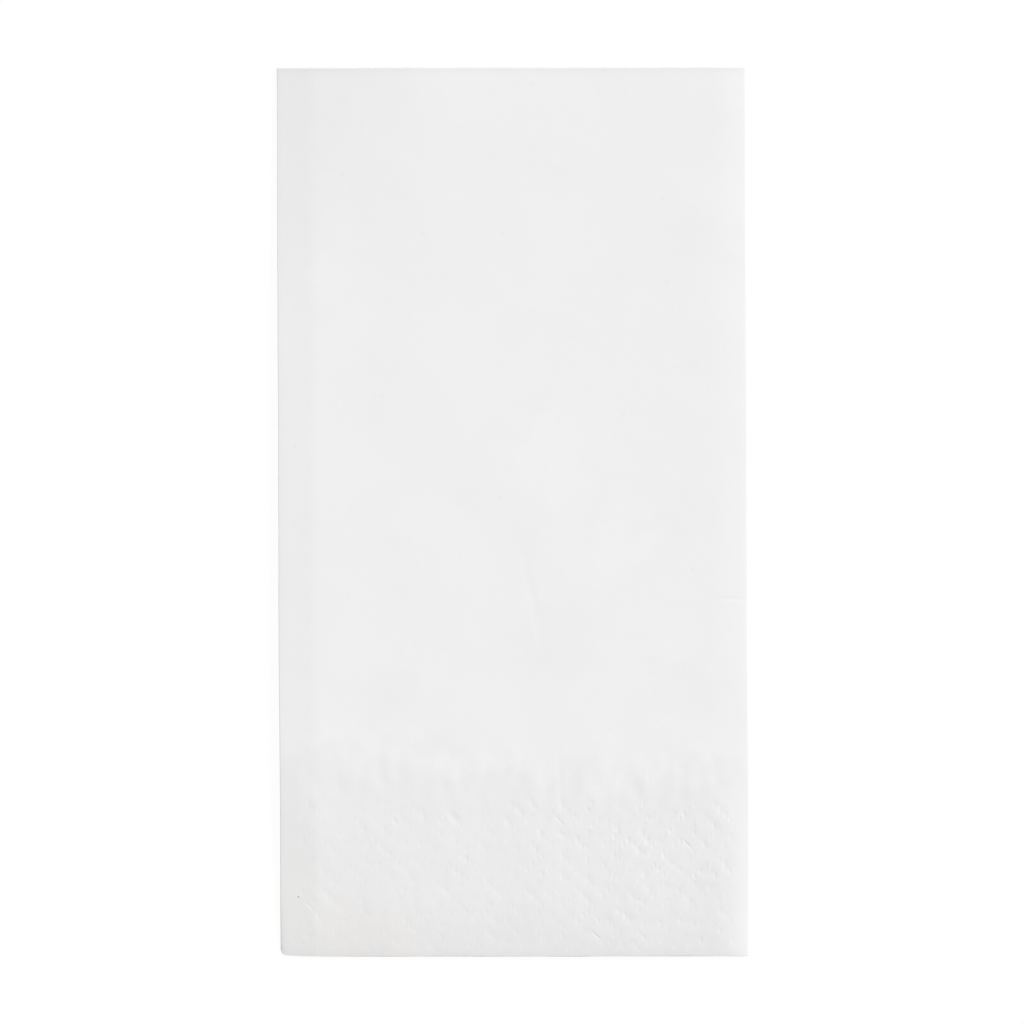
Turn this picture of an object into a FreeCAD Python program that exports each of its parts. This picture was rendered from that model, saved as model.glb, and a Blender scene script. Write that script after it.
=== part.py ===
# A paper dinner napkin: one sheet of embossed tissue, folded to an eighth of its area.
#
# The sheet is four panels wide. It is folded in half along its length and in half again,
# which lays panel 2 at the bottom and panels 3, 4 and 1 above it. That strip of four
# layers is then folded over in its middle, so panel 2 is also the top of the eight.
#
#   lower half, from the cut end              from the side
#        ______________________                ____________________
#     1                        \                                   \
#        ____________________   |                                    |
#     4                      )  |               eight layers         | cross fold
#      ______________________)  |                                    |
#     ( 3                       |                                    |
#     (________________________/               ____________________ /
#       2
#
# X runs across the napkin, Y along it towards the cross fold and Z up from the table.
# The origin is under the middle of the folded napkin. Lengths are in millimetres.

import FreeCAD, Part
import os

V = FreeCAD.Vector

# The folded napkin
folded_width = 101.0
folded_length = 192.0

# The tissue, and the air that its embossing keeps between the layers
sheet_thickness = 0.22
layer_gap = 0.16

# The free side edges of the sheet, tucked between the layers of the left-hand side
tuck_1 = 7.8                # panel 1 stops this far short of the side
tuck_4 = 6.6                # panel 4 stops this far short of the side

# The cut ends
end_step = 0.15             # each layer ends this far behind the one inside it
left_corner_radius = 1.0
right_corner_radius = 0.7

# The border of pressed dots: square rings stood on their corners, in a centred lattice
border_height = 33.8        # from the cut end
end_margin = 1.1            # from the cut end to the nearest dot
side_margin = 3.8           # from a side to the nearest dot
lattice_pitch = 11.0
lattice_shift = 2.8         # from the middle of the napkin to a ring on the cut end
dots_per_pitch = 10         # places for dots in one lattice pitch
ring_steps = 3              # places from the middle of a ring to each of its corners
dot_width = 0.95
dot_depth = 0.14

# How far a tool stands clear of what it cuts
clearance = 0.05

# Worked out from the sizes above. A level is the middle of a layer, and levels count up
# from the table: 0, 1, 2 and 3 are panels 2, 3, 4 and 1 of the lower half.
layer_pitch = sheet_thickness + layer_gap
half_sheet = sheet_thickness / 2
mid_height = 4 * layer_pitch - layer_gap / 2
total_height = 2 * mid_height
side_left = -folded_width / 2
side_right = folded_width / 2
bend_left = side_left + 0.5 * layer_pitch + half_sheet      # middle of the left bend
bend_right = side_right - 1.5 * layer_pitch - half_sheet    # middle of both right bends
cut_end_y = -folded_length / 2
cross_fold_y = folded_length / 2 - mid_height
straight_length = cross_fold_y - cut_end_y


def height(level):
    """Height of the middle of a layer."""
    return half_sheet + level * layer_pitch


def layer(level, x_from, x_to):
    """Section of one layer, across the napkin."""
    low = height(level) - half_sheet
    high = height(level) + half_sheet
    corners = [V(x_from, 0, low), V(x_to, 0, low), V(x_to, 0, high), V(x_from, 0, high)]
    return Part.Face(Part.makePolygon(corners + corners[:1]))


def half_round(x, middle, radius, side):
    """Half a disc that bulges to one side: -1 is left, 1 is right."""
    start = V(x, 0, middle - side * radius)
    end = V(x, 0, middle + side * radius)
    arc = Part.Arc(start, V(x + side * radius, 0, middle), end).toShape()
    return Part.Face(Part.Wire([arc, Part.makeLine(end, start)]))


def bend(x, low_level, high_level, side):
    """Section of a fold between two layers. Neighbours meet in a crease with no hollow."""
    middle = (height(low_level) + height(high_level)) / 2
    radius = (height(high_level) - height(low_level)) / 2
    fold = half_round(x, middle, radius + half_sheet, side)
    if high_level - low_level > 1:
        fold = fold.cut(half_round(x, middle, radius - half_sheet, side))
    return fold


def strip_section():
    """Section of the four layers that the two long folds make."""
    panel_2 = layer(0, bend_left, bend_right)
    panel_3 = layer(1, bend_left, bend_right)
    panel_4 = layer(2, side_left + tuck_4, bend_right)
    panel_1 = layer(3, side_left + tuck_1, bend_right)
    fold_1_2 = bend(bend_right, 0, 3, 1)
    fold_2_3 = bend(bend_left, 0, 1, -1)
    fold_3_4 = bend(bend_right, 1, 2, 1)
    strip = panel_2.fuse([panel_3, panel_4, panel_1, fold_1_2, fold_2_3, fold_3_4])
    return Part.Shell(strip.Faces).removeSplitter().Faces[0]


def folded_sheet():
    """The strip's section run along the lower half, round the cross fold and back."""
    section = strip_section()
    section.translate(V(0, cross_fold_y, 0))
    fold_axis = V(0, cross_fold_y, mid_height)
    section_above = section.copy()
    section_above.rotate(fold_axis, V(1, 0, 0), 180)
    towards_cut = V(0, -straight_length - clearance, 0)
    lower_half = section.extrude(towards_cut)
    cross_fold = section.revolve(fold_axis, V(1, 0, 0), 180)
    upper_half = section_above.extrude(towards_cut)
    return lower_half.fuse([cross_fold, upper_half]).removeSplitter()


def end_trim():
    """What is cut away past the ends, so that the layers step back from the middle out."""
    slope = end_step / layer_pitch
    tip_y = cut_end_y - slope * layer_gap / 2
    back_y = tip_y + slope * (mid_height + clearance)
    away_y = cut_end_y - folded_width
    bottom = -clearance
    top = total_height + clearance
    points = [(away_y, bottom), (back_y, bottom), (tip_y, mid_height), (back_y, top), (away_y, top)]
    outline = Part.makePolygon([V(-folded_width, y, z) for y, z in points + points[:1]])
    return Part.Face(outline).extrude(V(2 * folded_width, 0, 0))


def corner_trim(side, radius):
    """What is cut away to round a corner of the cut end: -1 is the left corner, 1 the right."""
    side_x = side * folded_width / 2
    inner_x = side_x - side * radius
    outer_x = side_x + side * radius
    inner_y = cut_end_y + radius
    outer_y = cut_end_y - radius
    bulge = radius * 0.5 ** 0.5
    on_arc = V(inner_x + side * bulge, inner_y - bulge, 0)
    rounding = Part.Arc(V(inner_x, cut_end_y, 0), on_arc, V(side_x, inner_y, 0)).toShape()
    outside = Part.makePolygon([V(side_x, inner_y, 0), V(outer_x, inner_y, 0), V(outer_x, outer_y, 0),
                                V(inner_x, outer_y, 0), V(inner_x, cut_end_y, 0)])
    outline = Part.Face(Part.Wire([rounding] + outside.Edges))
    outline.translate(V(0, 0, -clearance))
    return outline.extrude(V(0, 0, total_height + 2 * clearance))


def ring():
    """Places of a ring's dots about its middle."""
    steps = range(-ring_steps, ring_steps + 1)
    return [(i, j) for i in steps for j in steps if abs(i) + abs(j) == ring_steps]


def dot_places():
    """Where the dots of the border are: across the napkin, and up from the cut end."""
    half_pitch = lattice_pitch / 2
    dot_pitch = lattice_pitch / dots_per_pitch
    columns = int(folded_width / half_pitch) + 1
    rows = int(border_height / half_pitch) + 2
    middles = [(lattice_shift + column * half_pitch, row * half_pitch)
               for column in range(-columns, columns + 1) for row in range(rows)
               if (column + row) % 2 == 0]
    dots = [(x + i * dot_pitch, up + j * dot_pitch) for x, up in middles for i, j in ring()]
    return [(x, up) for x, up in dots
            if abs(x) <= folded_width / 2 - side_margin and end_margin <= up <= border_height]


def pit():
    """What a pin of the embossing roller presses: four slopes that meet in a point."""
    reach = dot_width / 2 * (1 + clearance / dot_depth)
    mouth = [V(reach, 0, clearance), V(0, reach, clearance),
             V(-reach, 0, clearance), V(0, -reach, clearance)]
    point = V(0, 0, -dot_depth)
    lid = Part.Face(Part.makePolygon(mouth + mouth[:1]))
    slopes = [Part.Face(Part.makePolygon([a, b, point, a])) for a, b in zip(mouth, mouth[1:] + mouth[:1])]
    return Part.Solid(Part.Shell([lid] + slopes))


def pressed_border():
    """All the pits of the border, on the top panel."""
    one = pit()
    return Part.makeCompound([one.translated(V(x, cut_end_y + up, total_height))
                              for x, up in dot_places()])


napkin = folded_sheet().cut([
    end_trim(),
    corner_trim(-1, left_corner_radius),
    corner_trim(1, right_corner_radius),
])
napkin = napkin.cut(pressed_border())

os.makedirs("parts", exist_ok=True)
napkin.exportStep("parts/napkin.step")
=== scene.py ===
import bisect
import math

import bmesh
import bpy
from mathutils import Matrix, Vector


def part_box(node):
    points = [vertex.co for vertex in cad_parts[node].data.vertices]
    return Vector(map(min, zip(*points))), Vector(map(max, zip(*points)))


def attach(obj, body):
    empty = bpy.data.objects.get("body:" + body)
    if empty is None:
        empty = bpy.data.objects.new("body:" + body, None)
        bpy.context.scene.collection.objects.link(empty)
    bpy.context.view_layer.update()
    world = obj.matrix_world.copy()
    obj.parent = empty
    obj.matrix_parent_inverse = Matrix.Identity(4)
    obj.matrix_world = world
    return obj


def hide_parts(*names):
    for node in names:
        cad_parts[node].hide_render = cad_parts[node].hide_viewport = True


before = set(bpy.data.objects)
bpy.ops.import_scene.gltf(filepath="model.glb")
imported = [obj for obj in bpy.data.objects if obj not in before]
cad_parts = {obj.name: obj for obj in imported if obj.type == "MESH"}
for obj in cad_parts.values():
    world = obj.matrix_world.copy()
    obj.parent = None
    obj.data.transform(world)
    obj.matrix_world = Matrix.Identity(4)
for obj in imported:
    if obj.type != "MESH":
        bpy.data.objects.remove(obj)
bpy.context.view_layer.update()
mm = 0.001
noiseMiddle = 0.5    # noise lies evenly about this


# sums on sockets, for node trees of either kind
class Signal:
    def __init__(self, tree, socket=None):
        self.tree = tree
        self.socket = socket

    def node(self, kind, inputs, output=0, **settings):
        made = self.tree.nodes.new(kind)
        for name, value in settings.items():
            setattr(made, name, value)
        for place, value in inputs.items():
            if isinstance(value, Signal):
                self.tree.links.new(value.socket, made.inputs[place])
            else:
                made.inputs[place].default_value = value
        return Signal(self.tree, made.outputs[output])

    def other(self, output):  # another output of the same node
        return Signal(self.tree, self.socket.node.outputs[output])

    def maths(self, operation, *values):
        return self.node("ShaderNodeMath", dict(enumerate(values)), operation=operation)

    def __add__(self, other):
        return self.maths("ADD", self, other)

    __radd__ = __add__

    def __sub__(self, other):
        return self.maths("SUBTRACT", self, other)

    def __rsub__(self, other):
        return self.maths("SUBTRACT", other, self)

    def __mul__(self, other):
        return self.maths("MULTIPLY", self, other)

    __rmul__ = __mul__

    def __truediv__(self, other):
        return self.maths("DIVIDE", self, other)

    def __gt__(self, other):
        return self.maths("GREATER_THAN", self, other)

    def __lt__(self, other):
        return self.maths("LESS_THAN", self, other)

    def __abs__(self):
        return self.maths("ABSOLUTE", self)

    def clamped(self, low, high):
        return self.maths("MINIMUM", self.maths("MAXIMUM", self, low), high)

    def ramp(self, start, end, shape="LINEAR"):  # 0 at the start, 1 at the end, and flat beyond
        places = {0: self, 1: start, 2: end, 3: 0.0, 4: 1.0}
        return self.node("ShaderNodeMapRange", places, interpolation_type=shape)

    def smooth(self, start, end):
        return self.ramp(start, end, "SMOOTHSTEP")


# the folded napkin
low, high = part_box("napkin")
sheetThickness = 0.22 * mm
layerPitch = 0.38 * mm
tightBend, wideBend = 0.5, 1.5              # radius of the sheet's bends, in layer pitches
foldSquash = 0.15                           # how far a pressed bend reaches, against a round one
spread = {                                  # how far pressing moves each edge out
    "right": 0.4 * mm,
    "fold": 0.2 * mm,
    "end": 0.2 * mm,
}
napkin = {
    "Sheet Thickness": sheetThickness,
    "Layer Pitch": layerPitch,
    "Fold Squash": foldSquash,
    "Left Bend": low.x + foldSquash * (tightBend * layerPitch + sheetThickness / 2),
    "Right Bend": high.x - foldSquash * (wideBend * layerPitch + sheetThickness / 2) + spread["right"],
    "Panel 1 Edge": low.x + 7.8 * mm,       # the free side edges, tucked in at the left
    "Panel 4 Edge": low.x + 6.6 * mm,
    "Middle Height": high.z / 2,
    "Cross Fold": high.y - foldSquash * high.z / 2 + spread["fold"],
    "Cut End": low.y - spread["end"],
    "Weld": 0.01 * mm,                      # points nearer than this are joined

    # the pressed border, which is rings of dots in a centred lattice
    "Dot Pitch": 1.1 * mm,
    "Lattice Shift": 2.8 * mm,
    "Lattice Dots": 5.0,                    # dot places in half a pitch of the lattice
    "Ring Dots": 3.0,                       # dot places from the middle of a ring to its corner
    "Place Slack": 0.25,                    # how far off its place, in dot places, a dot still counts
    "Border Height": 33.8 * mm,
    "Side Margin": 3.8 * mm,                # from a side to the nearest dot
    "End Margin": 1.1 * mm,
    "Dot Depth": 0.028 * mm,
    "Faint Dots": 0.25,                     # the share of them that is hardly pressed
    "Faint Depth": 0.25,
    "Dot Turns": 7.0,                       # each is turned by up to this many half turns
    "Dot Drift": 0.40 * mm,                 # how far the lattice wanders
    "Drift Wave": 4.0,                      # this and the next bare numbers are in dot pitches
    "Dot Jitter": 0.16 * mm,                # how far each dot lies from its place
    "Jitter Wave": 2.2,
    "Valley Depth": 0.043 * mm,             # along the lines of dots
    "Valley Width": 2.0,
    "Crumple Height": 0.064 * mm,           # between the dots
    "Crumple Wave": 2.0,
    "Pucker Height": 0.11 * mm,             # where the pressed border ends
    "Pucker Width": 2.2,
    "Pucker Length": 6.0,
    "Pucker Start": -4.0 * mm,              # from the top of the border up
    "Pucker Full": 4.0 * mm,
    "Pucker Reach": 18.0 * mm,

    # how firmly the border is pressed
    "Faint Press": 0.62,
    "Faint Side": 3.0 * mm,                 # the press bites less at the left of this
    "Firm Side": 16.0 * mm,
    "Patchy Press": 0.4,
    "Patchy Side": -16.0 * mm,              # left of this it bites most near the cut end
    "Patchy Start": 6.0 * mm,
    "Patchy End": 20.0 * mm,
    "Start Press": 0.62,                    # it starts lightly at the top of the border
    "Press Start": 6.0 * mm,
    "Press Change": 0.25,                   # and comes and goes
    "Press Wave": 11.0 * mm,

    # where the top comes down
    "Left Slope": 7.6 * mm,                 # where it has no free edges under it
    "Left Drop": 0.41 * mm,
    "Left Deepening": 0.6,                  # the border's sides come down further by this share
    "Sink Layers": 1.5,                     # the layers above and below the middle that take it up
    "Right Slope": 7.5 * mm,
    "Right Drop": 0.22 * mm,
    "Right Deepening": 2.0,
    "Sag Width": 31.0 * mm,                 # towards the left of the cross fold
    "Sag Length": 70.0 * mm,
    "Sag Drop": 1.25 * mm,
    "Sag Curve": 1.3,
    "Corner Width": 24.0 * mm,              # towards the left of the cut end
    "Corner Length": 32.0 * mm,
    "Corner Drop": 0.50 * mm,
    "Spring Length": 25.0 * mm,             # the cross fold springs open a little
    "Spring Drop": 0.15 * mm,
    "Bead Width": 0.8 * mm,
    "Bead Drop": 0.06 * mm,
    "Border Slope": 42.0 * mm,              # the pressed border is thinner
    "Border Drop": 0.85 * mm,
    "Border Curve": 1.2,
    "End Slope": 14.0 * mm,
    "End Drop": 0.50 * mm,
    "Side Rim Width": 0.8 * mm,             # beside each edge
    "Left Rim Drop": 0.025 * mm,
    "Right Rim Drop": 0.022 * mm,
    "End Rim Width": 1.4 * mm,
    "End Rim Drop": 0.08 * mm,

    # the cut end, the sides and the layers
    "End Step": 0.02 * mm,                  # each layer ends this far behind the one inside it
    "End Length": 21.0 * mm,                # how far from the cut end that is felt
    "End Ripple": 0.05 * mm,
    "Ripple Wave": 15.0 * mm,
    "Ripple Halves": 0.3,                   # the less this is, the less the two halves ripple alike
    "Left Corner": 1.0 * mm,
    "Left Rise": 0.30 * mm,                 # how far the cut end runs up towards the left corner
    "Rise Width": 6.0 * mm,
    "Right Corner": 0.7 * mm,
    "Left Lean": 0.86 * mm,                 # how far each side moves to the right down to the cut end
    "Right Lean": 0.95 * mm,
    "Waver": 0.08 * mm,                     # of the sides and the fold
    "Side Wave": 50.0 * mm,
    "Fold Wave": 60.0 * mm,
    "Flutter": 0.12 * mm,                   # of the layers, up and down
    "Flutter Wave": 22.0 * mm,
    "Flutter Change": 400.0,                # its waves in a metre, from layer to layer
    "Seed": 4.0,
}
outerPanel = ("Right Bend", "Left Bend")    # panel 2, which ends up outside and has the dots
sheetPath = [                               # across the sheet: panels 1, 2, 3 and 4 and their bends
    ("Panel 1 Edge", "Right Bend"),
    {"pitches": wideBend, "away": 1, "turn": 1},
    outerPanel,
    {"pitches": tightBend, "away": -1, "turn": 1},
    ("Left Bend", "Right Bend"),
    {"pitches": tightBend, "away": -1, "turn": -1},
    ("Right Bend", "Panel 4 Edge"),
]
meshing = {
    "wideTile": 5,                          # dot places in a wide tile of the plain parts
    "narrowTiles": 8,                       # dot places at each side that aren't joined
    "fieldRow": 4.4 * mm,
    "puckerRows": 16,                       # rows of dot places above the border, for its puckers
    "bendSteps": 10,
    "crossSteps": 14,
    "beside": (0.12 * mm, 0.38 * mm),       # edges beside each bend, so that it looks tight
    "besideFold": (0.12 * mm, 0.4 * mm, 0.9 * mm, 2.0 * mm),
    "sharpAngle": math.radians(50),
}
pit = {
    "outline": [(0.5, -1), (0.5, 0), (0.5, 1), (-0.5, 1), (-0.5, 0), (-0.5, -1)],
    "corners": 8,
    "rings": [                              # half its width and length, how far off the middle, height
        ((0.42, 0.80), 0.0, 0.0),
        ((0.28, 0.56), 0.03, -0.4),
        ((0.12, 0.28), 0.06, -1.0),
    ],
    "collar": [                             # faces round the pit: corners of the outline, and of its rim
        ((0, 1), (0, 7)), ((1,), (1, 0)), ((1, 2), (2, 1)), ((2, 3), (3, 2)),
        ((3, 4), (4, 3)), ((4,), (5, 4)), ((4, 5), (6, 5)), ((5, 0), (7, 6)),
    ],
}


def legRun(leg, size):  # the length of one panel or bend of the sheet
    if isinstance(leg, tuple):
        return abs(size[leg[1]] - size[leg[0]])
    return size["Layer Pitch"] * (math.pi * leg["pitches"])


def crossRun(size):  # half of the sheet's way round the cross fold
    return size["Layer Pitch"] * math.pi


def halfLength(size):  # along the sheet, from a cut end to the middle
    return size["Cross Fold"] - size["Cut End"] + crossRun(size)


def evenEdges(start, end, steps):
    return [start + (end - start) * step / steps for step in range(steps)] + [end]


def panelEdges(leg, places, start, end):  # edges on one panel, for places across the napkin
    left, right = sorted(napkin[name] for name in leg)
    margin = napkin["Dot Pitch"] / 2
    kept = [x for x in places if left + margin < x < right - margin]
    inner = [start + abs(x - napkin[leg[0]]) for x in kept]
    beside = [start + gap for gap in meshing["beside"]] + [end - gap for gap in meshing["beside"]]
    return sorted([start, end] + beside + inner)


# for each panel and bend, the edges across the sheet: plain ones, and those that dots need or None
def sheetStrips():
    pitch, shift = napkin["Dot Pitch"], napkin["Lattice Shift"]
    left, right = napkin["Left Bend"], napkin["Right Bend"]
    first = math.ceil((left - shift) / pitch + 0.5)
    last = math.floor((right - shift) / pitch + 0.5)
    tiles = [shift + (place - 0.5) * pitch for place in range(first, last + 1)]
    margin = meshing["narrowTiles"]
    wide = tiles[:margin] + tiles[margin:-margin:meshing["wideTile"]] + tiles[-margin:]
    strips, start = [], 0.0
    for leg in sheetPath:
        end = start + legRun(leg, napkin)
        if isinstance(leg, dict):
            bent = evenEdges(start, end, meshing["bendSteps"])
            strips.append((bent, bent))
        else:
            plain, dotted = [panelEdges(leg, places, start, end) for places in (wide, tiles)]
            strips.append((plain, dotted if leg == outerPanel else None))
        start = end
    return strips


# for each zone from one cut end to the other, the edges along the sheet in the same way
def sheetZones():
    pitch = napkin["Dot Pitch"]
    half = halfLength(napkin)
    straight = half - crossRun(napkin)
    fineRows = int(napkin["Border Height"] / pitch) + meshing["puckerRows"]
    tiles = [row * pitch for row in range(fineRows + 1)]
    wide = tiles[:-1:meshing["wideTile"]] + tiles[-1:]
    field = evenEdges(tiles[-1], straight, round((straight - tiles[-1]) / meshing["fieldRow"]))
    field = field[:-1] + [straight - gap for gap in meshing["besideFold"][::-1]] + [straight]
    turn = evenEdges(straight - half, half - straight, meshing["crossSteps"])
    lower = [[up - half for up in edges] for edges in (wide, tiles, field)]
    upper = [[half - up for up in edges[::-1]] for edges in (wide, tiles, field)]
    nearEnd = [(lower[0], lower[1]), (lower[2], None)]
    return nearEnd + [(turn, None), (upper[2], None), (upper[0], upper[1])]


def makeBlank():  # the sheet laid out flat, x across it and y along it
    patches = [(strip[1], zone[1]) if strip[1] and zone[1] else (strip[0], zone[0])
               for strip in sheetStrips() for zone in sheetZones()]
    cells = [(*across, *along) for columns, rows in patches
             for across in zip(columns, columns[1:]) for along in zip(rows, rows[1:])]
    onRow, onColumn = {}, {}
    for left, right, near, far in cells:
        for x in (left, right):
            for y in (near, far):
                onRow.setdefault(y, set()).add(x)
                onColumn.setdefault(x, set()).add(y)
    for lines in (onRow, onColumn):
        for place in lines:
            lines[place] = sorted(lines[place])

    def stretch(line, start, end):
        return line[bisect.bisect_left(line, start):bisect.bisect_right(line, end)]

    # a face's outline also goes through the corners of its finer neighbours
    made = bmesh.new()
    corners = {(x, y): made.verts.new((x, y, 0)) for y, line in onRow.items() for x in line}
    for left, right, near, far in cells:
        outline = [(x, near) for x in stretch(onRow[near], left, right)[:-1]]
        outline += [(right, y) for y in stretch(onColumn[right], near, far)[:-1]]
        outline += [(x, far) for x in stretch(onRow[far], left, right)[:0:-1]]
        outline += [(left, y) for y in stretch(onColumn[left], near, far)[:0:-1]]
        made.faces.new([corners[corner] for corner in outline])
    return made


def makeTile():  # one dot place wide and two long, with an uneven oval pit in it, one unit deep
    made = bmesh.new()
    outline = [made.verts.new((x, y, 0)) for x, y in pit["outline"]]
    corners = pit["corners"]
    turns = [2 * math.pi * (corner - 0.5) / corners for corner in range(corners)]
    rings = []
    for (width, length), shift, height in pit["rings"]:
        places = [(width * math.cos(turn) + shift, length * math.sin(turn) + shift) for turn in turns]
        rings.append([made.verts.new((x, y, height)) for x, y in places])
    for outside, inside in pit["collar"]:
        made.faces.new([outline[corner] for corner in outside] + [rings[0][corner] for corner in inside])
    for outer, inner in zip(rings, rings[1:]):
        for corner in range(corners):
            after = (corner + 1) % corners
            made.faces.new((outer[corner], outer[after], inner[after], inner[corner]))
    made.faces.new(rings[-1])
    return made


def makeObject(name, made):
    mesh = bpy.data.meshes.new(name)
    made.to_mesh(mesh)
    made.free()
    piece = bpy.data.objects.new(name, mesh)
    bpy.context.scene.collection.objects.link(piece)
    return piece


def ringDistance(size, across, up):  # in dot places, from the middle of the nearest ring
    half = size["Lattice Dots"]
    places = (across - size["Lattice Shift"]) / size["Dot Pitch"], up / size["Dot Pitch"]
    nearest = places[0].maths("PINGPONG", places[0], half) + places[1].maths("PINGPONG", places[1], half)
    return nearest.maths("PINGPONG", nearest, half)


def wander(size, across, along, width, length, layer=0.0):  # smooth noise about 0, mostly within 1
    place = across.node("ShaderNodeCombineXYZ", {0: across / width, 1: along / length, 2: layer})
    sockets = {"Vector": place, "W": size["Seed"], "Scale": 1.0, "Detail": 1.0}
    noise = place.node("ShaderNodeTexNoise", sockets, noise_dimensions="4D")
    return (noise - noiseMiddle) * 4  # because noise keeps to the middle half of its range


def chance(size, across, along):  # a number from 0 to 1 for each place
    place = across.node("ShaderNodeCombineXYZ", {0: across, 1: along})
    sockets = {"Vector": place, "W": size["Seed"]}
    return place.node("ShaderNodeTexWhiteNoise", sockets, noise_dimensions="4D")


def isDotPlace(size, across, up):  # 1 in the places of the border's dots, and 0 elsewhere
    slack = size["Place Slack"]
    margin = size["Side Margin"]
    isRing = abs(ringDistance(size, across, up) - size["Ring Dots"]) < slack
    isHigh = (up > size["End Margin"] - size["Dot Pitch"] * slack) * (up < size["Border Height"])
    return isRing * isHigh * (across > size["Left Bend"] + margin) * (across < size["Right Bend"] - margin)


def pressStrength(size, across, up):  # how firmly the press bites at each place
    faint = size["Faint Press"]
    firmly = faint + (1 - faint) * across.smooth(size["Faint Side"], size["Firm Side"])
    atLeft = across.smooth(size["Patchy Side"], size["Left Bend"])
    fainter = up.smooth(size["Patchy Start"], size["Patchy End"])
    firmly = firmly * (1 + size["Patchy Press"] * atLeft * (1 - fainter * 2))
    below = size["Border Height"] - up
    started = size["Start Press"] + (1 - size["Start Press"]) * below.ramp(0.0, size["Press Start"])
    wave = size["Press Wave"]
    return firmly * started * (1 + wander(size, across, up, wave, wave) * size["Press Change"])


def pressDots(size, sheet, at):  # a sheet with gaps for the dots, and the pits that fill them
    pitch = size["Dot Pitch"]

    def dotAt(along):
        return isDotPlace(size, at["across"], at["half"] - abs(along))

    # a dot covers two faces of the grid
    isDot = dotAt(at["v"] + pitch * 0.5)
    isUnderDot = isDot.maths("MAXIMUM", isDot, dotAt(at["v"] - pitch * 0.5))
    middle = isDot.node("ShaderNodeCombineXYZ", {0: at["u"], 1: at["v"] + pitch * 0.5, 2: at["w"]})
    covered = {"Geometry": sheet, "Selection": isUnderDot}
    opened = sheet.node("GeometryNodeDeleteGeometry", covered, domain="FACE")
    dotted = {"Mesh": sheet, "Selection": isDot, "Position": middle}
    places = sheet.node("GeometryNodeMeshToPoints", dotted, mode="FACES")
    tile = sheet.node("GeometryNodeObjectInfo", {"Object": size["Dot Tile"]}).other("Geometry")
    luck = chance(size, at["u"], at["v"])
    bitten = luck.ramp(size["Faint Dots"], 1.0) + size["Faint Depth"]
    depth = size["Dot Depth"] * pressStrength(size, at["across"], at["up"]) * bitten
    scale = depth.node("ShaderNodeCombineXYZ", {0: pitch, 1: pitch, 2: depth})
    halfTurns = luck.maths("ROUND", luck * size["Dot Turns"])
    turned = depth.node("ShaderNodeCombineXYZ", {2: halfTurns * math.pi})
    placed = {"Points": places, "Instance": tile, "Scale": scale, "Rotation": turned}
    pits = places.node("GeometryNodeInstanceOnPoints", placed)
    return opened, pits.node("GeometryNodeRealizeInstances", {"Geometry": pits})


def closeShell(size, blank, opened, pits):  # with the sheet's other face and a wall round its edges
    thickness = size["Sheet Thickness"]
    turned = blank.node("GeometryNodeFlipFaces", {"Mesh": blank})
    drop = blank.node("ShaderNodeCombineXYZ", {2: thickness * -0.5})
    inner = turned.node("GeometryNodeSetPosition", {"Geometry": turned, "Offset": drop})
    isOutline = inner.node("GeometryNodeInputMeshEdgeNeighbors", {}) < 2
    raised = inner.node("ShaderNodeCombineXYZ", {2: thickness})
    walls = {"Mesh": inner, "Selection": isOutline, "Offset": raised}
    walled = inner.node("GeometryNodeExtrudeMesh", walls, mode="EDGES")
    joined = walled.node("GeometryNodeJoinGeometry", {})
    for part in (opened, pits, walled):
        joined.tree.links.new(part.socket, joined.socket.node.inputs[0])
    return joined.node("GeometryNodeMergeByDistance", {"Geometry": joined, "Distance": size["Weld"]})


def pressSheet(size, at):  # where the press leaves each point of the flat sheet
    u, v, across, up = at["u"], at["v"], at["across"], at["up"]
    pitch = size["Dot Pitch"]
    margin = size["Side Margin"]
    top = size["Border Height"]
    onPanel = across.smooth(size["Left Bend"], size["Left Bend"] + margin)
    onPanel = onPanel * across.smooth(size["Right Bend"], size["Right Bend"] - margin)
    onPanel = onPanel * up.smooth(0.0, pitch)
    inBorder = onPanel * up.smooth(top + pitch, top - pitch) * pressStrength(size, across, up)
    valley = abs(ringDistance(size, across, up) - size["Ring Dots"]).smooth(size["Valley Width"], 0.0)
    crumpleWave = pitch * size["Crumple Wave"]
    crumple = wander(size, u, v, crumpleWave, crumpleWave)
    beyond = up - top
    puckered = beyond.smooth(size["Pucker Reach"], 0.0)
    puckered = puckered * beyond.smooth(size["Pucker Start"], size["Pucker Full"]) * onPanel
    pucker = wander(size, u, v, pitch * size["Pucker Width"], pitch * size["Pucker Length"])
    w = at["w"] + inBorder * (size["Crumple Height"] * crumple - size["Valley Depth"] * valley)
    w = w + puckered * pucker * size["Pucker Height"]
    driftWave, jitterWave = pitch * size["Drift Wave"], pitch * size["Jitter Wave"]
    moved = []
    for layer, along in ((10, u), (20, v)):  # each way has its own layers of the noise
        drift = wander(size, u, v, driftWave, driftWave, layer) * size["Dot Drift"]
        jitter = wander(size, u, v, jitterWave, jitterWave, layer * 2) * size["Dot Jitter"]
        moved.append(along + inBorder * (drift + jitter))
    return moved[0], moved[1], w


def foldAcross(size, u, w):  # the long folds: a place across the napkin, and how far off its middle
    x = size[sheetPath[0][0]]
    away = size["Layer Pitch"] * 0.5
    heading, start, way = 0.0, 0.0, 1
    for leg in sheetPath:
        run = legRun(leg, size)
        gone = (u - start).clamped(0.0, run)
        if isinstance(leg, tuple):
            x = x + gone * way
        else:
            radius = size["Layer Pitch"] * leg["pitches"]
            turn = gone / radius
            x = x + turn.maths("SINE", turn) * radius * size["Fold Squash"] * way
            away = away + (1 - turn.maths("COSINE", turn)) * radius * leg["away"]
            heading = heading + turn * leg["turn"]
            way = -way
        start = run + start
    x = x + w * u.maths("SINE", heading) * size["Fold Squash"]
    return x, away - w * u.maths("COSINE", heading)


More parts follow.
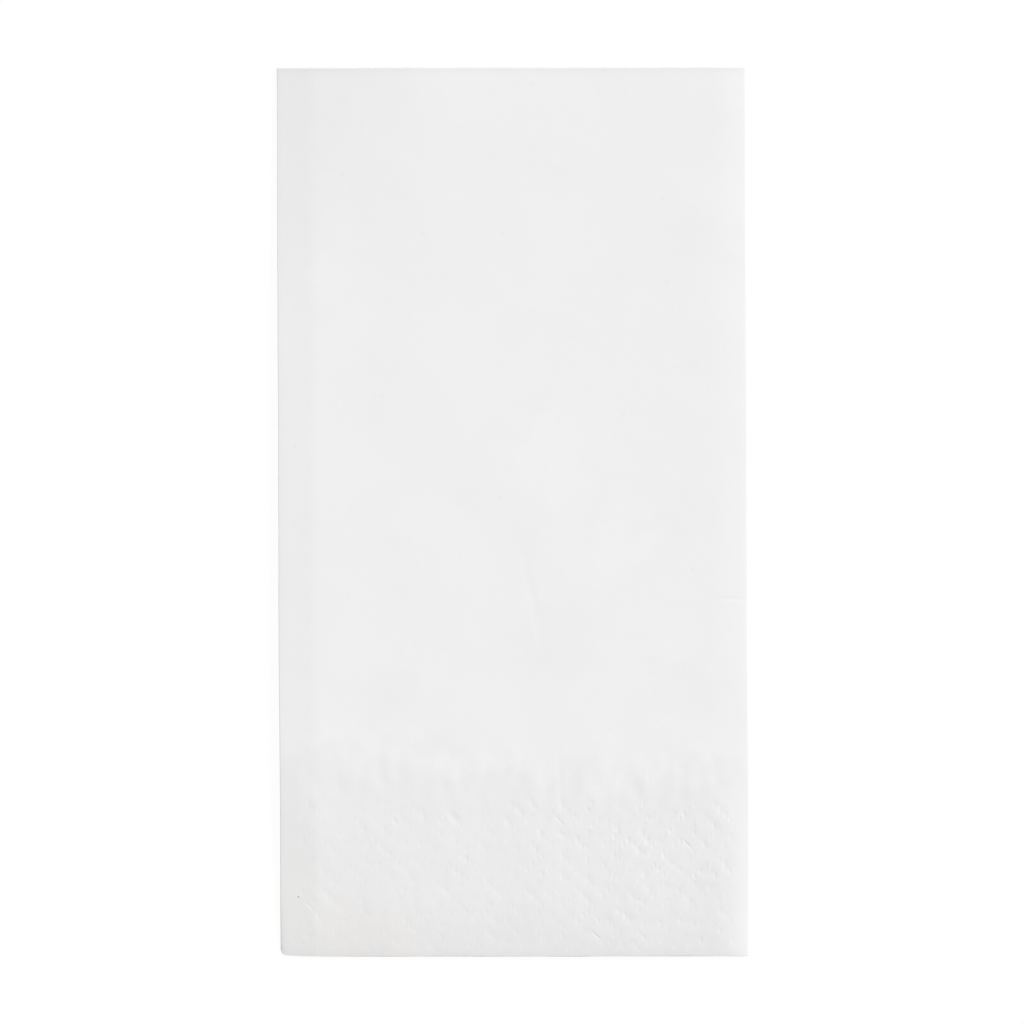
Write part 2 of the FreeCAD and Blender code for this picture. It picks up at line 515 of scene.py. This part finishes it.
def foldAlong(size, v, away):  # the cross fold: along the napkin, up, and which half, from -1 to 1
    turn = (v / (size["Layer Pitch"] * 2)).clamped(-math.pi / 2, math.pi / 2)
    straight = v.maths("MAXIMUM", abs(v) - crossRun(size), 0.0)
    half = v.maths("SINE", turn)
    y = size["Cross Fold"] + away * v.maths("COSINE", turn) * size["Fold Squash"] - straight
    return y, size["Middle Height"] + away * half, half


def cornerGap(fromSide, radius):  # how far a rounded corner's end lies behind a square one's
    part = (1 - fromSide / radius).clamped(0.0, 1.0)
    return (1 - part.maths("SQRT", 1 - part * part)) * radius


def topDrop(size, along, fromFold, fromLeft, fromRight, border):  # how far the top has come down
    end = along.ramp(size["End Slope"], 0.0)
    rightSide = fromRight.ramp(size["Right Slope"], 0.0)
    sag = fromLeft.ramp(size["Sag Width"], 0.0)
    sag = sag.maths("POWER", sag, size["Sag Curve"]) * fromFold.smooth(size["Sag Length"], 0.0)
    corner = fromLeft.ramp(size["Corner Width"], 0.0) * along.ramp(size["Corner Length"], 0.0)
    drop = size["Border Drop"] * border.maths("POWER", border, size["Border Curve"])
    drop = drop + size["End Drop"] * end * end
    drop = drop + size["Right Drop"] * rightSide * rightSide * (1 + border * size["Right Deepening"])
    drop = drop + size["Sag Drop"] * sag + size["Corner Drop"] * corner
    drop = drop + size["Spring Drop"] * fromFold.smooth(0.0, size["Spring Length"])
    drop = drop + size["Bead Drop"] * fromFold.smooth(0.0, size["Bead Width"])
    rims = (
        (fromLeft, size["Side Rim Width"], size["Left Rim Drop"]),
        (fromRight, size["Side Rim Width"], size["Right Rim Drop"] * (1 - border)),
        (along, size["End Rim Width"], size["End Rim Drop"]),
    )
    for distance, width, fall in rims:
        rim = distance.ramp(width, 0.0)
        drop = drop + fall * rim * rim
    return drop


def soften(size, x, y, z, away, half, u):  # what use, air and the press do to the folded sheet
    along = y - size["Cut End"]
    fromFold = size["Cross Fold"] - y
    fromLeft = x - size["Left Bend"]
    fromRight = size["Right Bend"] - x
    border = along.ramp(size["Border Slope"], 0.0)
    drop = topDrop(size, along, fromFold, fromLeft, fromRight, border)

    # at the left the upper layers sink into the place where the free edges don't reach
    middle, height = size["Middle Height"], size["Middle Height"] * 2
    tucked = size["Layer Pitch"] * size["Sink Layers"]
    sink = size["Left Drop"] * fromLeft.ramp(size["Left Slope"], 0.0)
    sink = sink * (1 + border * size["Left Deepening"])
    sunk = z - sink * z.ramp(middle - tucked, middle + tucked)
    wave = size["Flutter Wave"]
    flutter = wander(size, x, along, wave, wave, away * size["Flutter Change"]) * size["Flutter"]
    up = sunk * (1 - drop / height) + flutter * z / height

    # the sides lean and waver, and at the cut end the layers don't end together
    length = size["Cross Fold"] - size["Cut End"]
    share = fromLeft / (size["Right Bend"] - size["Left Bend"])
    lean = size["Left Lean"] + (size["Right Lean"] - size["Left Lean"]) * share
    sideWaver = wander(size, along, along, size["Side Wave"], size["Side Wave"]) * size["Waver"]
    leaning = x + lean * (0.5 - along / length) + sideWaver
    layer = away / size["Layer Pitch"] - 0.5
    rise = fromLeft.ramp(size["Rise Width"], 0.0)
    ended = size["End Step"] * layer + size["Left Rise"] * rise * rise
    ended = ended + wander(size, u, half, size["Ripple Wave"], size["Ripple Halves"]) * size["End Ripple"]
    ended = ended + cornerGap(fromLeft, size["Left Corner"]) + cornerGap(fromRight, size["Right Corner"])
    foldWaver = wander(size, x, x, size["Fold Wave"], size["Fold Wave"]) * size["Waver"]
    placed = y + ended * along.smooth(size["End Length"], 0.0) + foldWaver
    return leaning, placed, up


def makeFoldTree():
    tree = bpy.data.node_groups.new("foldedSheet", "GeometryNodeTree")
    sockets = {
        "Geometry": "NodeSocketGeometry",
        "Dot Tile": "NodeSocketObject",
        "Finish": "NodeSocketMaterial",
        **{name: "NodeSocketFloat" for name in napkin},
    }
    for name, kind in sockets.items():
        tree.interface.new_socket(name=name, in_out="INPUT", socket_type=kind)
    tree.interface.new_socket(name="Geometry", in_out="OUTPUT", socket_type="NodeSocketGeometry")
    given = tree.nodes.new("NodeGroupInput")
    size = {name: Signal(tree, given.outputs[name]) for name in sockets}

    # places on the flat sheet, and where they are on the panel that ends up outside
    blank = size["Geometry"]
    position = blank.node("GeometryNodeInputPosition", {})
    flat = position.node("ShaderNodeSeparateXYZ", {0: position})
    panelStart = legRun(sheetPath[0], size) + legRun(sheetPath[1], size)
    at = {"u": flat, "v": flat.other("Y"), "w": flat.other("Z"), "half": halfLength(size)}
    at["across"] = size["Right Bend"] - (at["u"] - panelStart)
    at["up"] = at["half"] - abs(at["v"])

    lift = blank.node("ShaderNodeCombineXYZ", {2: size["Sheet Thickness"] * 0.5})
    outer = blank.node("GeometryNodeSetPosition", {"Geometry": blank, "Offset": lift})
    opened, pits = pressDots(size, outer, at)
    shell = closeShell(size, blank, opened, pits)
    plane = flat.node("ShaderNodeCombineXYZ", {0: at["u"], 1: at["v"]})
    stored = {"Geometry": shell, "Name": "flatSheet", "Value": plane}
    shell = shell.node("GeometryNodeStoreNamedAttribute", stored, data_type="FLOAT2", domain="CORNER")

    u, v, w = pressSheet(size, at)
    x, away = foldAcross(size, u, w)
    y, z, half = foldAlong(size, v, away)
    softened = soften(size, x, y, z, away, half, at["u"])
    placed = x.node("ShaderNodeCombineXYZ", dict(enumerate(softened)))
    folded = shell.node("GeometryNodeSetPosition", {"Geometry": shell, "Position": placed})
    smooth = folded.node("GeometryNodeSetShadeSmooth", {"Geometry": folded})
    whole = smooth.node("GeometryNodeRealizeInstances", {"Geometry": smooth})
    finished = whole.node("GeometryNodeSetMaterial", {"Geometry": whole, "Material": size["Finish"]})
    outputs = tree.nodes.new("NodeGroupOutput")
    tree.links.new(finished.socket, outputs.inputs[0])
    return tree


def foldNapkin(finish):
    piece = makeObject("foldedNapkin", makeBlank())
    print("flat sheet:", len(piece.data.polygons), "faces")
    tile = makeObject("dotTile", makeTile())
    for part in (piece, tile):
        part.data.materials.append(finish)
    tree = makeFoldTree()
    modifier = piece.modifiers.new("fold", "NODES")
    modifier.node_group = tree
    for item in tree.interface.items_tree:
        if item.in_out == "INPUT" and item.name in napkin:
            modifier[item.identifier] = napkin[item.name]
        elif item.name == "Dot Tile":
            modifier[item.identifier] = tile
        elif item.name == "Finish":
            modifier[item.identifier] = finish
    blank = piece.data
    folded = piece.evaluated_get(bpy.context.evaluated_depsgraph_get())
    mesh = bpy.data.meshes.new_from_object(folded)
    piece.modifiers.clear()
    piece.data = mesh
    bpy.data.objects.remove(tile)
    bpy.data.meshes.remove(blank)
    made = bmesh.new()
    made.from_mesh(mesh)
    bmesh.ops.recalc_face_normals(made, faces=made.faces)
    made.to_mesh(mesh)
    made.free()
    mesh.set_sharp_from_angle(angle=meshing["sharpAngle"])
    return piece


# the tissue's finish
paper = {
    "white": (0.86, 0.86, 0.86, 1),
    "borderShade": (0.828, 0.828, 0.828, 1),   # painted shade: the pressed border drawn darker, for its dots' small shadows and the light falling off towards the cut end
    "stain": (0.838, 0.841, 0.824, 1),
    "blush": (0.842, 0.828, 0.819, 1),
    "speck": (0.45, 0.44, 0.43, 1),
    "fleck": (0.838, 0.838, 0.838, 1),          # tiny places all over the sheet where the tissue is thinner
    "fleckSpacing": 31.0 * mm,
    "fleckSize": 1.2 * mm,
    # where the border's painted shade lies
    "borderTop": low.y + 41 * mm,
    "borderEdge": 2.5 * mm,
    "borderFoot": low.y + 16 * mm,
    "borderStart": 0.5,                         # the share of it that starts at the border's ragged top
    "raggedWaves": [(13.0 * mm, 45.0 * mm), (2.5 * mm, 12.0 * mm)],     # wave and height
    "borderTilt": 0.06,                         # its top is lower at the right
    "borderSide": 4.0 * mm,                     # it ends this far from the right side
    "cloudWave": 15.0 * mm,
    "cloudEdge": (0.54, 0.64),
    "cloud": (0.854, 0.854, 0.854, 1),          # where the tissue is a little thinner
    # painted shade: darker soft patches, at the left corners, down the left side and in a few places lower
    # down
    "shadedPatch": (0.847, 0.847, 0.847, 1),
    # painted light: lighter soft patches near the middle of the top
    "litPatch": (0.872, 0.872, 0.872, 1),
    "markWave": 8.0 * mm,                       # how uneven the outlines of the marks are
    "markShift": 24.0 * mm,
    "markCore": 0.3,                            # the share of a mark that is full strength
    "speckEdge": 0.1,                           # a speck ends where it is this faint
    "fibreWave": 0.38 * mm,
    "fibreHeight": 0.005 * mm,
    "crepeWave": 1.1 * mm,
    "crepeHeight": 0.006 * mm,
    "crepeStretch": (1.0, 0.35, 1.0),           # its waves are longer along the sheet
    "crumpleWave": 9.0 * mm,
    "crumpleHeight": 0.06 * mm,
    "roughDetail": 3.0,                         # octaves of the rougher noises
    "roughness": 0.85,
    "specular": 0.2,
    "topOnly": 1.0 * mm,                        # marks are on what lies higher than this
}
speck = {"at": (-46.2, -83.3), "size": (0.27, 0.20), "turn": 0}
# besides the stain, the blush and the speck, the marks are soft patches of painted shade and painted light
marks = [                                       # place and size across and along, and how far turned
    {"at": (-47.0, -91.0), "size": (5.0, 7.0), "turn": 0, "look": "shadedPatch"},
    {"at": (-45.5, -87.0), "size": (8.0, 18.0), "turn": 12, "look": "stain"},
    {"at": (-33.8, -91.8), "size": (16.2, 6.8), "turn": -5, "look": "blush"},
    {"at": (-52.0, 92.0), "size": (26.0, 46.0), "turn": 0, "look": "shadedPatch"},
    {"at": (-46.0, 56.0), "size": (8.0, 22.0), "turn": 0, "look": "shadedPatch"},
    {"at": (-27.0, -39.0), "size": (9.0, 12.0), "turn": -15, "look": "shadedPatch"},
    {"at": (14.0, -26.0), "size": (14.0, 12.0), "turn": 30, "look": "shadedPatch"},
    {"at": (36.0, -37.0), "size": (15.0, 9.0), "turn": 0, "look": "shadedPatch"},
    {"at": (9.0, 14.0), "size": (11.0, 16.0), "turn": 15, "look": "litPatch"},
    {"at": (24.0, -5.0), "size": (7.0, 10.0), "turn": 0, "look": "litPatch"},
]
creases = [                                     # as marks, and how deep
    {"at": (4.0, -17.4), "size": (1.8, 17.0), "turn": 12, "depth": 0.025},
    {"at": (8.4, 10.2), "size": (0.6, 1.4), "turn": 20, "depth": 0.012},
    {"at": (10.4, -59.0), "size": (1.3, 9.0), "turn": 2, "depth": 0.025},
    {"at": (29.6, -57.0), "size": (1.0, 5.5), "turn": 0, "depth": 0.015},
    {"at": (38.0, -71.9), "size": (0.45, 2.0), "turn": 42, "depth": 0.045},
    {"at": (18.2, -91.6), "size": (0.45, 2.2), "turn": 48, "depth": 0.045},
    {"at": (-43.8, -85.2), "size": (0.50, 2.0), "turn": 42, "depth": 0.020},
    {"at": (47.5, -18.8), "size": (3.5, 0.7), "turn": 0, "depth": 0.025},
    {"at": (-12.5, -66.2), "size": (1.4, 2.5), "turn": 42, "depth": 0.055},     # where the border starts
    {"at": (10.4, -66.9), "size": (0.55, 2.2), "turn": 47, "depth": 0.025},
    {"at": (-25.2, -67.0), "size": (0.45, 1.3), "turn": 30, "depth": 0.020},
    {"at": (1.5, -64.4), "size": (1.1, 2.6), "turn": 35, "depth": 0.030},
    {"at": (4.5, -63.3), "size": (1.0, 2.4), "turn": 25, "depth": 0.028},
    {"at": (-0.9, -67.0), "size": (1.4, 1.8), "turn": 20, "depth": 0.035},
    {"at": (-15.6, -66.6), "size": (0.5, 1.4), "turn": 30, "depth": 0.020},
    {"at": (-19.2, -65.5), "size": (0.7, 1.8), "turn": 5, "depth": 0.025},
    {"at": (13.5, -65.7), "size": (0.45, 0.9), "turn": 15, "depth": 0.030},
]


def noiseOn(place, wave, detail=2.0):
    return place.node("ShaderNodeTexNoise", {"Vector": place, "Scale": 1 / wave, "Detail": detail})


def softSpot(place, mark, core=0.0):  # 1 in the middle of an oval, from its core, and 0 at its edge
    x, y = mark["at"]
    across, along = mark["size"]
    local = place.node("ShaderNodeMapping", {
        "Vector": place,
        "Location": (x * mm, y * mm, 0),
        "Rotation": (0, 0, math.radians(mark["turn"])),
        "Scale": (across * mm, along * mm, 1),
    }, vector_type="TEXTURE")
    distance = local.node("ShaderNodeVectorMath", {0: local}, "Value", operation="LENGTH")
    return distance.smooth(1.0, core)


def blend(factor, colour, other):
    return factor.node("ShaderNodeMix", {0: factor, 6: colour, 7: other}, 2, data_type="RGBA")


def paperRelief(place, sheet, isTop):  # fibres, crepe, soft crumples and the creases
    detail = paper["roughDetail"]
    stretched = sheet.node("ShaderNodeMapping", {"Vector": sheet, "Scale": paper["crepeStretch"]})
    height = noiseOn(sheet, paper["fibreWave"], detail) * paper["fibreHeight"]
    height = height + noiseOn(stretched, paper["crepeWave"]) * paper["crepeHeight"]
    height = height + noiseOn(sheet, paper["crumpleWave"], detail) * paper["crumpleHeight"]
    for crease in creases:
        height = height - softSpot(place, crease) * isTop * (crease["depth"] * mm)
    return height


def borderShadePart(sheet, parts):  # how much of the border's painted shade each place has
    ragged = parts.other("Y") + parts * paper["borderTilt"]
    for wave, rise in paper["raggedWaves"]:
        ragged = ragged + (noiseOn(sheet, wave) - noiseMiddle) * rise
    top, edge = paper["borderTop"], paper["borderEdge"]
    pressed = ragged.smooth(top + edge, top - edge)
    deeper = parts.other("Y").ramp(top, paper["borderFoot"])
    pressed = pressed * paper["borderStart"] + deeper * (1 - paper["borderStart"])
    return pressed * parts.smooth(high.x, high.x - paper["borderSide"])


def markColours(place, isTop, colour):  # the stain, the blush, the speck and the soft patches of painted shade and painted light, with uneven outlines
    noise = noiseOn(place, paper["markWave"], paper["roughDetail"]).other("Color")
    uneven = noise.node("ShaderNodeVectorMath", {0: noise, 1: [noiseMiddle] * 3}, operation="SUBTRACT")
    moved = {0: uneven, 1: [paper["markShift"]] * 3, 2: place}
    shifted = uneven.node("ShaderNodeVectorMath", moved, operation="MULTIPLY_ADD")
    for mark in marks:
        colour = blend(softSpot(shifted, mark, paper["markCore"]) * isTop, colour, paper[mark["look"]])
    return blend((softSpot(place, speck) > paper["speckEdge"]) * isTop, colour, paper["speck"])


def tissueFinish():
    material = bpy.data.materials.new("embossedTissue")
    material.use_nodes = True
    tree = material.node_tree
    shader = tree.nodes["Principled BSDF"]
    place = Signal(tree).node("ShaderNodeTexCoord", {}, "Object")
    parts = place.node("ShaderNodeSeparateXYZ", {0: place})
    isTop = parts.other("Z") > paper["topOnly"]
    sheet = place.node("ShaderNodeUVMap", {}, uv_map="flatSheet")

    height = paperRelief(place, sheet, isTop)
    bump = height.node("ShaderNodeBump", {"Height": height, "Strength": 1.0, "Distance": 1.0})
    tree.links.new(bump.socket, shader.inputs["Normal"])

    clouds = noiseOn(sheet, paper["cloudWave"], paper["roughDetail"]).smooth(*paper["cloudEdge"])
    colour = blend(clouds, paper["white"], paper["cloud"])
    spacing = {"Vector": sheet, "Scale": 1 / paper["fleckSpacing"]}
    flecks = sheet.node("ShaderNodeTexVoronoi", spacing, voronoi_dimensions="2D") * paper["fleckSpacing"]
    flecked = flecks.smooth(paper["fleckSize"] / 2, paper["fleckSize"] / 4)
    colour = blend(flecked, colour, paper["fleck"])
    # painted shade over the pressed border, deeper towards the cut end
    colour = blend(borderShadePart(sheet, parts), colour, paper["borderShade"])
    colour = markColours(place, isTop, colour)
    tree.links.new(colour.socket, shader.inputs["Base Color"])
    shader.inputs["Roughness"].default_value = paper["roughness"]
    shader.inputs["Specular IOR Level"].default_value = paper["specular"]
    return material


tissue = tissueFinish()
print("finish:", len(marks), "marks and", len(creases), "creases")
foldedNapkin = foldNapkin(tissue)
foldedNapkin.data.calc_loop_triangles()
print("folded sheet:", len(foldedNapkin.data.loop_triangles), "triangles")
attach(foldedNapkin, "root")
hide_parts("napkin")


# floor, lights and camera
studio = {
    "frameWidth": 0.2213,    # what the camera sees at the top of the napkin
    "lens": 200.0,
    "keyStrength": 3.0,
    "keySoftness": 25.0,     # degrees that the lamp's disc fills
    "keyHeight": 35.0,       # degrees above the floor
    "keyWay": 37.0,          # degrees from +X towards +Y
    "fill": 0.46,
    "floorSize": 4.0,        # half its width
    "floorShade": 0.42,
    "floorRoughness": 0.9,
    "floorWhite": 0.87,      # how much of the floor's look is plain white
    "floorGlow": 1.1,
    "viewDepth": 100.0,
}


def makeFloor():
    made = bmesh.new()
    bmesh.ops.create_grid(made, x_segments=1, y_segments=1, size=studio["floorSize"])
    floor = makeObject("floor", made)
    material = bpy.data.materials.new("paleFloor")
    material.use_nodes = True
    tree = material.node_tree
    shader = tree.nodes["Principled BSDF"]
    shade = studio["floorShade"]
    shader.inputs["Base Color"].default_value = (shade, shade, shade, 1)
    shader.inputs["Roughness"].default_value = studio["floorRoughness"]
    path = Signal(tree).node("ShaderNodeLightPath", {}, "Is Camera Ray")
    isSeen = path.maths("MAXIMUM", path, path.other("Is Glossy Ray"))
    isSeen = isSeen.maths("MAXIMUM", isSeen, path.other("Is Transmission Ray"))
    plain = path.node("ShaderNodeEmission", {"Color": (1, 1, 1, 1), "Strength": studio["floorGlow"]})
    looks = {0: isSeen * studio["floorWhite"], 1: Signal(tree, shader.outputs[0]), 2: plain}
    mixed = path.node("ShaderNodeMixShader", looks)
    tree.links.new(mixed.socket, tree.nodes["Material Output"].inputs["Surface"])
    floor.data.materials.append(material)


def makeLights():
    height, way = math.radians(studio["keyHeight"]), math.radians(studio["keyWay"])
    data = bpy.data.lights.new("key", "SUN")
    data.energy = studio["keyStrength"]
    data.angle = math.radians(studio["keySoftness"])
    key = bpy.data.objects.new("key", data)
    bpy.context.scene.collection.objects.link(key)
    flat = math.cos(height)
    key.location = (flat * math.cos(way), flat * math.sin(way), math.sin(height))
    key.rotation_euler = key.location.to_track_quat("Z", "Y").to_euler()
    world = bpy.data.worlds.new("softLight")
    bpy.context.scene.world = world
    world.use_nodes = True
    background = world.node_tree.nodes["Background"]
    background.inputs["Color"].default_value = (1, 1, 1, 1)
    background.inputs["Strength"].default_value = studio["fill"]


def makeCamera():
    data = bpy.data.cameras.new("camera")
    data.lens = studio["lens"]
    data.clip_end = studio["viewDepth"]
    camera = bpy.data.objects.new("camera", data)
    bpy.context.scene.collection.objects.link(camera)
    camera.location = (0, 0, high.z + studio["frameWidth"] * studio["lens"] / data.sensor_width)
    bpy.context.scene.camera = camera


makeFloor()
makeLights()
makeCamera()
print("studio: floor, lights and camera")
bpy.context.scene.view_settings.view_transform = "Standard"
